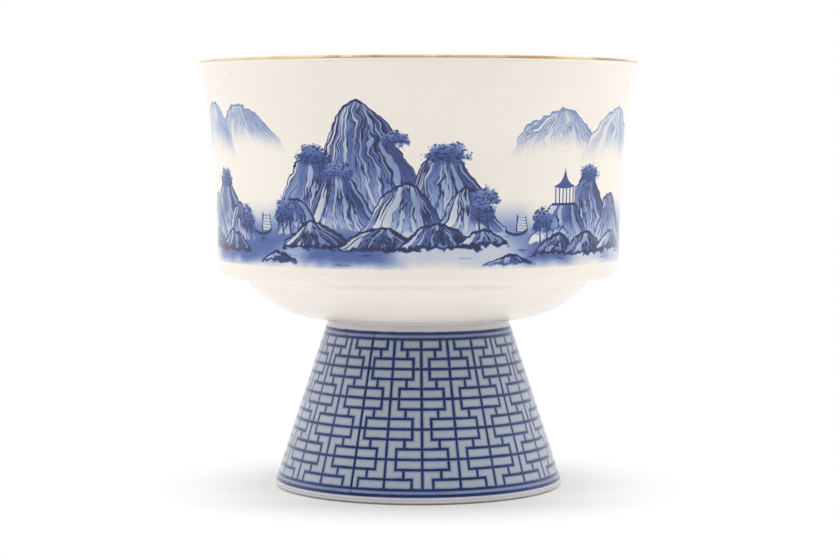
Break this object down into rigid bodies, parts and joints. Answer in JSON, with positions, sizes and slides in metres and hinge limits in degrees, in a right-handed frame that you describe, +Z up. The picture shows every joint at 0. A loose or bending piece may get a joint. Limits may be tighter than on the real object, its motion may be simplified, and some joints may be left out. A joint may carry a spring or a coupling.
{
  "type": "stem cup",
  "caption": "Porcelain stem cup: a flared bowl with an angular waist and gilded lip on a hollow conical stem, with blue landscape and lattice bands.",
  "frame": {"origin": "centre of the foot, on the plane that the cup stands on", "axes": "+Z up along the axis of the cup, -Y towards the viewer of the picture, +X to the viewer's right"},
  "size_m": [0.09, 0.09, 0.087],
  "materials": {
    "porcelain": "clear gloss glaze over a warm white body",
    "slip": "fired porcelain slip under glaze",
    "gilding": "fired gold, lightly worn",
    "landscape_blue": "cobalt colour in clear gloss glaze",
    "lattice_blue": "cobalt colour in clear gloss glaze"
  },
  "bodies": {
    "root": {"bowl": "porcelain", "stem": "porcelain", "luting_ring": "slip", "gilt_rim": "gilding", "landscape_band": "landscape_blue", "lattice_band": "lattice_blue"}
  },
  "joints": []
}
